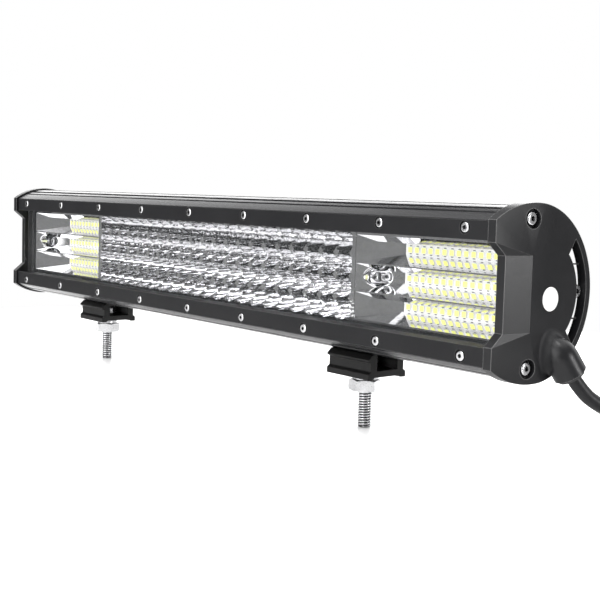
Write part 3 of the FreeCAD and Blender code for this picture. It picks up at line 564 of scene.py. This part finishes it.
def phosphor():
    """The grainy yellow face of an LED, which glows faintly."""
    finish = Finish("led_phosphor")
    grain = finish.noise(grains=2500.0)
    finish.link(finish.between(grain, (0.82, 0.84, 0.18), (0.90, 0.92, 0.26)), "Base Color")
    finish.roughen(grain, low=0.35, high=0.5)
    finish.fix("Emission Color", (0.90, 0.96, 0.30, 1))
    finish.fix("Emission Strength", 0.45)
    return finish.material


SMOOTH_SILVERING = silvering("smooth_silvering", height=0.03)
# The caps' coat without the painted edge highlight, for the boss's fillet.
CAST_WITHOUT_HIGHLIGHT = cast_coat("powder_coat_without_painted_highlight", rough=(0.46, 0.58), gloss=0.20)
DULL_SOLDER = plain(
    "dull_solder", (0.10, 0.10, 0.10), (0.16, 0.16, 0.16), rough=(0.4, 0.55), grains=2500.0
)

# The finish of each of the record's material slots.
SURFACES = {
    "black_anodised_body": black_coat(
        "black_anodised", (0.008, 0.008, 0.009), (0.014, 0.014, 0.016), rough=(0.20, 0.32),
        grains=900.0, gloss=0.5, stretch=(0.03, 1, 1),
    ),
    # The rails' edges get a painted highlight.
    "black_rail": black_coat(
        "black_rail_coat", (0.005, 0.005, 0.006), (0.008, 0.008, 0.009), rough=(0.40, 0.52),
        grains=1600.0, gloss=0.22, edge_highlight=(0.4, 0.06),
    ),
    # The caps' edges get a painted highlight.
    "cast_cap": cast_coat("cast_powder_coat", rough=(0.28, 0.38), gloss=0.26, edge_highlight=(0.5, 0.12)),
    "black_bracket": black_coat(
        "bracket_coat", (0.002, 0.002, 0.002), (0.005, 0.005, 0.005), rough=(0.36, 0.48),
        grains=1400.0, gloss=0.22,
    ),
    "clear_lens": clear_lens(),
    "silvered_optic": silvering("rippled_silvering", height=0.30),
    "white_board": plain(
        "white_solder_mask", (0.90, 0.90, 0.89), (0.95, 0.95, 0.94), rough=(0.35, 0.5)
    ),
    "led_phosphor": phosphor(),
    "seal_rubber": plain(
        "seal_rubber", (0.018, 0.018, 0.019), (0.028, 0.028, 0.029), rough=(0.6, 0.75)
    ),
    "bright_steel": bright_metal(
        "bright_zinc", (0.55, 0.55, 0.56), (0.68, 0.68, 0.69), rough=(0.18, 0.32)
    ),
    "zinc_screw": bright_metal(
        "zinc_screw", (0.58, 0.58, 0.59), (0.72, 0.72, 0.73), rough=(0.18, 0.3)
    ),
    "red_wire": plain("red_wire", (0.45, 0.03, 0.02), (0.55, 0.05, 0.03), rough=(0.3, 0.4)),
    "black_cable": black_coat(
        "cable_jacket", (0.004, 0.004, 0.005), (0.007, 0.007, 0.008), rough=(0.40, 0.52),
        grains=700.0, gloss=0.28,
    ),
    "black_nylon": plain(
        "black_nylon", (0.02, 0.02, 0.021), (0.032, 0.032, 0.033), rough=(0.35, 0.5), grains=900.0
    ),
    "white_label": plain(
        "white_label", (0.80, 0.80, 0.79), (0.88, 0.88, 0.87), rough=(0.4, 0.5)
    ),
}


# ---- Mesh helpers ----
def rectangle(form, left, right, bottom, top, y):
    """The four corners of an upright rectangle, as new vertices."""
    corners = [(left, y, bottom), (right, y, bottom), (right, y, top), (left, y, top)]
    return [form.verts.new(corner) for corner in corners]


def bridge(form, rings):
    """Joins each closed ring of vertices with the next one by quads."""
    for first, second in zip(rings, rings[1:]):
        for k in range(len(first)):
            n = (k + 1) % len(first)
            form.faces.new((first[k], first[n], second[n], second[k]))


def add_box(form, centre, size):
    """A box in a bmesh."""
    made = bmesh.ops.create_cube(form, size=1.0)
    for vertex in made["verts"]:
        vertex.co = Vector([c + v * s for c, v, s in zip(centre, vertex.co, size)])


def merged_form(node):
    """A CAD node's mesh with its flat faces joined, as a bmesh."""
    form = bmesh.new()
    form.from_mesh(frame["nodes"][node].data)
    bmesh.ops.remove_doubles(form, verts=form.verts, dist=WELD_GAP * MM)
    bmesh.ops.dissolve_limit(
        form, angle_limit=math.radians(SAME_PLANE), verts=form.verts, edges=form.edges
    )
    return form


def mesh_of(form, name, corner=USUAL_CORNER):
    """A bmesh turned into a smooth mesh with its sharp edges kept."""
    mesh = bpy.data.meshes.new(name)
    form.to_mesh(mesh)
    form.free()
    for layer in ("custom_normal", "sharp_edge"):
        if layer in mesh.attributes:
            mesh.attributes.remove(mesh.attributes[layer])
    mesh.polygons.foreach_set("use_smooth", [True] * len(mesh.polygons))
    mesh.set_sharp_from_angle(angle=math.radians(corner))
    return mesh


# ---- Piece helpers ----
def add_piece(name, mesh, node, slot=None, finish=None):
    """A new object that rides with a CAD node's body, and has the node's finish unless told."""
    slot = slot or NODE_SLOT[node]
    mesh.materials.append(finish or SURFACES[slot])
    piece = new_object(name, mesh)
    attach(piece, NODE_BODY[node])
    return piece


def softened(node, width, segments=EDGE_SEGMENTS, form=None, finish=None):
    """A copy of a CAD node, or a changed form of it, with rounded edges, which stands for it."""
    corner = CORNER_ANGLES.get(node, USUAL_CORNER)
    mesh = mesh_of(form or merged_form(node), node + "_form", corner)
    piece = add_piece(node + "_finished", mesh, node, finish=finish)
    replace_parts(piece, node)
    bevel = piece.modifiers.new("rounded_edges", "BEVEL")
    bevel.width = width * MM
    bevel.segments = segments
    bevel.limit_method = "ANGLE"
    bevel.angle_limit = math.radians(corner)
    bevel.harden_normals = True


# ---- Cable boss; in millimetres ----
def boss_line():
    """The middle of the boss's end, and the direction in which the boss points."""
    start = Vector(CABLE_ROUTE[0])
    along = (Vector(CABLE_ROUTE[1]) - start).normalized()
    return start + along * GROMMET_DEPTH, along


def boss_distance(point):
    """How far a point is outside the boss's surface, and the surface's direction there."""
    end, along = boss_line()
    inwards = along * -1
    offset = point - end
    depth = offset.dot(inwards)
    radial = offset - inwards * depth
    reach = radial.length
    outwards = radial.normalized()
    if depth < BOSS_STRAIGHT:
        return reach - BOSS_RADIUS, outwards
    # The dome's profile is an arc, whose centre lies this far past the boss's middle line.
    behind = (BOSS_DOME ** 2 - BOSS_RADIUS ** 2) / (2 * BOSS_RADIUS)
    spoke = outwards * (reach + behind) + inwards * (depth - BOSS_STRAIGHT)
    return spoke.length - BOSS_RADIUS - behind, spoke.normalized()


def boss_outline():
    """The line on which the boss rises out of the cap's flat face."""
    axis_z = AXIS_Z / MM
    cap_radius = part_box("right_end_cap")[1].z / MM - axis_z
    end, along = boss_line()
    middle = end - along * BOSS_STRAIGHT
    middle.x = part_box("label_disc")[0].x / MM
    ahead = Vector((0, -along.y, -along.z)).normalized()
    across = Vector((0, -ahead.z, ahead.y))
    line = []
    for k in range(-OUTLINE_HALF_STEPS, OUTLINE_HALF_STEPS + 1):
        turn = math.pi * k / OUTLINE_HALF_STEPS
        heading = ahead * math.cos(turn) + across * math.sin(turn)
        inside, outside = 0.0, OUTLINE_REACH
        while outside - inside > OUTLINE_ERROR:
            half = (inside + outside) / 2
            if boss_distance(middle + heading * half)[0] < 0:
                inside = half
            else:
                outside = half
        point = middle + heading * inside
        if math.hypot(point.y, point.z - axis_z) < cap_radius - CAP_MARGIN:
            line.append(point)
    return line


def climb_boss(point, climb, width):
    """Goes up the boss's surface: the point reached, the way there, the surface's direction."""
    for _ in range(ROOT_CLIMB_STEPS):
        following = point + climb * width / ROOT_CLIMB_STEPS
        gap, outwards = boss_distance(following)
        following -= outwards * gap
        climb = (following - point).normalized()
        point = following
    return point, climb, outwards


def root_section(line, k):
    """The closed section of the fillet at one point of the boss's outline."""
    point = line[k]
    out = Vector((1, 0, 0))
    run = (line[min(k + 1, len(line) - 1)] - line[max(k - 1, 0)]).normalized()
    steep = boss_distance(point)[1]
    # flat goes over the cap's face away from the boss, climb up the boss away from the face.
    flat = run.cross(out)
    flat = flat if flat.dot(steep) > 0 else flat * -1
    climb = run.cross(steep)
    climb = climb if climb.x > 0 else climb * -1
    from_end = min((point - line[0]).length, (point - line[-1]).length)
    grow = min(1.0, from_end / ROOT_FADE)
    grow = grow * grow * (3 - 2 * grow)
    width = ROOT_WIDTH * (ROOT_END_SHARE + (1 - ROOT_END_SHARE) * grow)
    low = point + flat * width
    high, climb, outwards = climb_boss(point, climb, width)
    bends = (low, low - flat * width * ROOT_PULL, high - climb * width * ROOT_PULL, high)
    section = []
    for step in range(ROOT_SEGMENTS + 1):
        t = step / ROOT_SEGMENTS
        weights = ((1 - t) ** 3, 3 * t * (1 - t) ** 2, 3 * t * t * (1 - t), t ** 3)
        section.append(sum((bend * weight for bend, weight in zip(bends, weights)), Vector()))
    section[0] = section[0] - out * ROOT_EDGE_DEPTH
    section[-1] = section[-1] - outwards * ROOT_EDGE_DEPTH
    section.append(point - (out + steep) * ROOT_CORE_DEPTH)
    return section


def boss_root():
    """The fillet that blends the boss into the cap's face, as a bead along the boss's outline."""
    line = boss_outline()
    form = bmesh.new()
    rings = [
        [form.verts.new(corner * MM) for corner in root_section(line, k)] for k in range(len(line))
    ]
    bridge(form, rings)
    form.faces.new(rings[0])
    form.faces.new(rings[-1])
    bmesh.ops.recalc_face_normals(form, faces=form.faces)
    mesh = mesh_of(form, "boss_root", ROOT_CORNER)
    add_piece("boss_root", mesh, "right_end_cap", finish=CAST_WITHOUT_HIGHLIGHT)


# ---- Cable ----
def cable_points():
    """The points of the cable's whole length: the route, then the coil, then the tail."""
    points = [Vector(p) for p in CABLE_ROUTE]
    low_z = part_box("power_cable_coil")[0].z / MM + CABLE_DIAMETER / 2
    high_z = low_z + CABLE_DIAMETER
    steps = round((COIL_START - COIL_END) * COIL_POINTS_PER_TURN / 360)
    for k in range(steps + 1):
        angle = COIL_START + (COIL_END - COIL_START) * k / steps
        sink = min(1.0, max(0.0, (SINK_START - angle) / SINK_SPAN))
        turn = math.radians(angle)
        points.append(Vector((
            COIL_CENTRE[0] + COIL_RADIUS * math.cos(turn),
            COIL_CENTRE[1] + COIL_RADIUS * math.sin(turn),
            high_z + (low_z - high_z) * sink,
        )))
    plug_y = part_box("power_cable_tail")[0].y / MM
    last = points[-1]
    points.append(Vector((last.x, (last.y + plug_y) / 2, low_z)))
    points.append(Vector((last.x, plug_y - PLUG_DEPTH, low_z + PLUG_RISE)))
    return [point * MM for point in points]


def power_cable(points):
    """The whole cable on one smooth line, in place of its three CAD nodes."""
    curve = bpy.data.curves.new("power_cable_line", "CURVE")
    curve.dimensions = "3D"
    curve.bevel_depth = CABLE_DIAMETER / 2 * MM
    curve.bevel_resolution = CABLE_FACETS
    curve.resolution_u = CABLE_STEPS
    curve.use_fill_caps = True
    spline = curve.splines.new("NURBS")
    spline.points.add(len(points) - 1)
    for place, point in zip(spline.points, points):
        place.co = (*point, 1)
    spline.order_u = 3
    spline.use_endpoint_u = True
    curve.materials.append(SURFACES["black_cable"])
    piece = new_object("power_cable_run", curve)
    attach(piece, "lamp")
    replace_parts(piece, "power_cable", "power_cable_coil", "power_cable_tail")
    return piece


# ---- Optics ----
def led_places(node, columns, rows):
    """The (x, z) centres of a board's LEDs, a regular grid that fills the node's box."""
    low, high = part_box(node)
    edge = LED_SIZE * MM
    places = []
    for row in range(rows):
        for column in range(columns):
            x = low.x + edge / 2 + (high.x - low.x - edge) * column / (columns - 1)
            z = low.z + edge / 2 + (high.z - low.z - edge) * row / (rows - 1)
            places.append((x, z))
    return places


def spoke_angles(first, second):
    """Angles round a full turn, with two marked angles and their mirror images among them."""
    marks = [0.0, first, second, math.pi / 2]
    quarter = []
    for start, end, count in zip(marks, marks[1:], CUP_SPOKES):
        quarter += [start + (end - start) * k / count for k in range(count)]
    angles = []
    for turn in range(4):
        base = turn * math.pi / 2
        if turn % 2:
            angles += [base] + [base + math.pi / 2 - a for a in reversed(quarter[1:])]
        else:
            angles += [base + a for a in quarter]
    return angles


def cup_reach(across, up, half_x, half_z):
    """How far a cup goes in a direction: to its round mouth, or to the edge of its cell."""
    reach = CUP_MOUTH * MM
    if abs(across) > TINY:
        reach = min(reach, half_x / abs(across))
    if abs(up) > TINY:
        reach = min(reach, half_z / abs(up))
    return reach


def add_cup(form, place, half_x, half_z, front, back, angles):
    """A parabolic cup, from its throat to the edges of its cell, and the cell's flat corners."""
    x, z = place
    mouth, throat = CUP_MOUTH * MM, CUP_THROAT * MM
    rings = [[] for _ in range(CUP_RINGS + 1)]
    for angle in angles:
        across, up = math.cos(angle), math.sin(angle)
        reach = cup_reach(across, up, half_x, half_z)
        for k, ring in enumerate(rings):
            r = throat + (reach - throat) * k / CUP_RINGS
            share = (r * r - throat * throat) / (mouth * mouth - throat * throat)
            y = back - (back - front) * share
            ring.append(form.verts.new((x + r * across, y, z + r * up)))
    bridge(form, rings)
    for side_x in (-1, 1):
        for side_z in (-1, 1):
            rim = [
                vertex for vertex, angle in zip(rings[-1], angles)
                if side_x * math.cos(angle) > 0 and side_z * math.sin(angle) > 0
                and abs(vertex.co.y - front) < SAME_PLACE * MM
            ]
            tip = form.verts.new((x + side_x * half_x, front, z + side_z * half_z))
            for first, second in zip(rim, rim[1:]):
                form.faces.new((tip, first, second))


def centre_optic():
    """The centre reflector: deep round cups that meet in scalloped ridges, in a flat frame."""
    low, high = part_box("center_reflector")
    places = led_places("center_leds", CENTRE_COLUMNS, CENTRE_ROWS)
    half_x = (places[1][0] - places[0][0]) / 2
    half_z = (places[CENTRE_COLUMNS][1] - places[0][1]) / 2
    mouth = CUP_MOUTH * MM
    angles = spoke_angles(math.acos(half_x / mouth), math.asin(half_z / mouth))
    form = bmesh.new()
    for place in places:
        add_cup(form, place, half_x, half_z, low.y, high.y, angles)
    field = (
        places[0][0] - half_x, places[-1][0] + half_x, places[0][1] - half_z, places[-1][1] + half_z
    )
    border = (low.x, high.x, low.z, high.z)
    bridge(form, [
        rectangle(form, *field, low.y + WALL_DROP * MM),
        rectangle(form, *field, low.y),
        rectangle(form, *border, low.y),
        rectangle(form, *border, high.y),
    ])
    bmesh.ops.remove_doubles(form, verts=form.verts, dist=CUP_WELD_GAP * MM)
    bmesh.ops.recalc_face_normals(form, faces=form.faces)
    mesh = mesh_of(form, "centre_optic", CUP_CORNER)
    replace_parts(add_piece("center_optic", mesh, "center_reflector"), "center_reflector")


def bend_upper_walls(form, low, high):
    """Lets the upper wall of each trough run level at first and then flare to the mouth."""
    place = high.y - TROUGH_BEND * MM
    bmesh.ops.bisect_plane(
        form, geom=form.verts[:] + form.edges[:] + form.faces[:],
        plane_co=(0, place, 0), plane_no=(0, 1, 0), dist=CUT_GAP * MM,
    )
    share = TROUGH_BEND * MM / (high.y - low.y)
    straight = (TROUGH_THROAT + (TROUGH_MOUTH - TROUGH_THROAT) * share) * MM
    for vertex in form.verts:
        if abs(vertex.co.y - place) > SAME_PLACE * MM:
            continue
        for level in (-TROUGH_PITCH * MM, 0.0, TROUGH_PITCH * MM):
            if abs(vertex.co.z - AXIS_Z - level - straight) < NEAR_PLACE * MM:
                vertex.co.z = AXIS_Z + level + TROUGH_BEND_HEIGHT * MM


def is_slanted(face):
    """Whether a face is one of the slanted end walls that the screw wells open in."""
    return SLANT_LEAST < abs(face.normal.x) < SLANT_MOST and abs(face.normal.z) < SLANT_TILT


def well_rims(form):
    """The edges where a side reflector's round screw wells open in its slanted end walls."""
    rims = []
    for edge in form.edges:
        first, second = [vertex.co for vertex in edge.verts]
        if math.hypot(first.x - second.x, first.z - second.z) < SAME_PLACE * MM:
            continue
        if not any(is_slanted(face) for face in edge.link_faces):
            continue
        for place in WELL_PLACES:
            reaches = [
                math.hypot(abs(end.x) - place * MM, end.z - AXIS_Z) for end in (first, second)
            ]
            if all(abs(reach - WELL_RADIUS * MM) < NEAR_PLACE * MM for reach in reaches):
                rims.append(edge)
    return rims


def side_optic(side):
    """A side reflector with bent upper walls and rounded lips on its screw wells."""
    node = side + "_reflector"
    form = merged_form(node)
    bend_upper_walls(form, *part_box(node))
    rims = well_rims(form)
    rim_points = list({vertex for edge in rims for vertex in edge.verts})
    bmesh.ops.bevel(
        form, geom=rims + rim_points, offset=LIP_WIDTH * MM, offset_type="OFFSET",
        segments=LIP_SEGMENTS, profile=0.5, affect="EDGES",
    )
    bmesh.ops.triangulate(form, faces=[face for face in form.faces if len(face.verts) > 4])
    softened(node, SIDE_EDGE_WIDTH, SIDE_EDGE_SEGMENTS, form, SMOOTH_SILVERING)


def add_led_frame(form, x, y, z):
    """An LED's white body: four walls, a chamfer, and a flat top round the phosphor."""
    outer, inner = LED_BODY * MM / 2, PHOSPHOR_SIZE * MM / 2
    bridge(form, [
        rectangle(form, x - reach, x + reach, z - reach, z + reach, y - height * MM)
        for reach, height in (
            (outer, 0.0),
            (outer, LED_SHOULDER),
            (outer - LED_CHAMFER * MM, LED_TOP),
            (inner, LED_TOP),
        )
    ])


def add_phosphor(form, x, y, z):
    """An LED's raised phosphor face, a square with cut corners."""
    edge = PHOSPHOR_SIZE * MM / 2
    short = edge - PHOSPHOR_CUT * MM
    outline = [
        (-edge, -short), (-short, -edge), (short, -edge), (edge, -short),
        (edge, short), (short, edge), (-short, edge), (-edge, short),
    ]
    rings = [
        [form.verts.new((x + share * a, y - height * MM, z + share * b)) for a, b in outline]
        for share, height in ((1.0, LED_TOP), (PHOSPHOR_TOP_SHARE, PHOSPHOR_TOP))
    ]
    bridge(form, rings)
    form.faces.new(rings[-1])


def led_board(side, columns, rows):
    """The LEDs of one board, as a piece of frames and a piece of phosphor faces."""
    node = side + "_leds"
    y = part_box(node)[1].y
    frames, faces = bmesh.new(), bmesh.new()
    for x, z in led_places(node, columns, rows):
        add_led_frame(frames, x, y, z)
        add_phosphor(faces, x, y, z)
    for form in (frames, faces):
        bmesh.ops.recalc_face_normals(form, faces=form.faces)
    add_piece(node + "_frames", mesh_of(frames, node + "_frames"), node, "white_board")
    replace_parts(add_piece(node + "_phosphor", mesh_of(faces, node + "_phosphor"), node), node)


def solder_pads(side, columns, rows):
    """Short dull pads over and under each LED of a side board."""
    node = side + "_leds"
    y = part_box(node)[1].y - PAD_SIZE[1] / 2 * MM
    form = bmesh.new()
    for x, z in led_places(node, columns, rows):
        for offset in (-PAD_OFFSET, PAD_OFFSET):
            add_box(form, (x, y, z + offset * MM), [edge * MM for edge in PAD_SIZE])
    mesh = mesh_of(form, side + "_pads")
    add_piece(side + "_solder_pads", mesh, node, "zinc_screw", DULL_SOLDER)


# ---- Hardware ----
def thread_rings(form, x, y, tip):
    """Rings of vertices up a bolt's thread, from its tapered tip to zero, the nut's underside."""
    crest, root = STUD_RADIUS * MM, THREAD_ROOT * MM
    pitch = THREAD_PITCH * MM
    rows = round(-tip / pitch * THREAD_ROWS)
    rings = []
    for row in range(rows + 1):
        z = tip - tip * row / rows
        limit = root + (z - tip) * TIP_TAPER
        ring = []
        for k in range(THREAD_SIDES):
            turn = 2 * math.pi * k / THREAD_SIDES
            phase = (z / pitch - k / THREAD_SIDES) % 1.0
            wave = min(1.0, THREAD_FLANK * (0.5 - abs(phase - 0.5)))
            r = min(limit, root + (crest - root) * wave)
            ring.append(form.verts.new((x + r * math.cos(turn), y + r * math.sin(turn), z)))
        rings.append(ring)
    return rings


def close_ends(form, rings):
    """Joins rings from below to above and closes both ends."""
    bridge(form, rings)
    form.faces.new(list(reversed(rings[0])))
    form.faces.new(rings[-1])


def threaded_bolt(side):
    """A mounting bolt: a thread below, a plain core where the nut holds it, a hexagon head."""
    node = side + "_mount_bolt"
    low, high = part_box(node)
    x, y = (low.x + high.x) / 2, (low.y + high.y) / 2
    head_base = high.z - HEAD_HEIGHT * MM
    form = bmesh.new()

    def ring(radius, sides, z):
        """New vertices round the bolt's middle line."""
        return [form.verts.new(corner) for corner in circle(x, y, z, radius, sides)]

    close_ends(form, thread_rings(form, x, y, low.z) + [
        ring(CORE_RADIUS * MM, THREAD_SIDES, z) for z in (0.0, head_base + HEAD_OVERLAP * MM)
    ])
    corner = (high.y - low.y) / math.sqrt(3)
    close_ends(form, [
        ring(corner, HEAD_SIDES, head_base),
        ring(corner, HEAD_SIDES, high.z - HEAD_CHAMFER * MM),
        ring(corner * HEAD_TOP_SHARE, HEAD_SIDES, high.z),
    ])
    mesh = mesh_of(form, side + "_threaded_bolt", THREAD_CORNER)
    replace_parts(add_piece(side + "_threaded_bolt", mesh, node), node)


# ---- Put together ----
place_camera()
studio()
for node_name, node_object in frame["nodes"].items():
    for material_slot in node_object.material_slots:
        material_slot.material = SURFACES[NODE_SLOT[node_name]]

centre_optic()
led_board("center", CENTRE_COLUMNS, CENTRE_ROWS)
for side_name in ("left", "right"):
    led_board(side_name, SIDE_COLUMNS, SIDE_ROWS)
    solder_pads(side_name, SIDE_COLUMNS, SIDE_ROWS)
    side_optic(side_name)
    threaded_bolt(side_name)
boss_root()
for node_name, edge_width in EDGE_WIDTHS.items():
    softened(node_name, edge_width)
cable_line = cable_points()
power_cable(cable_line)
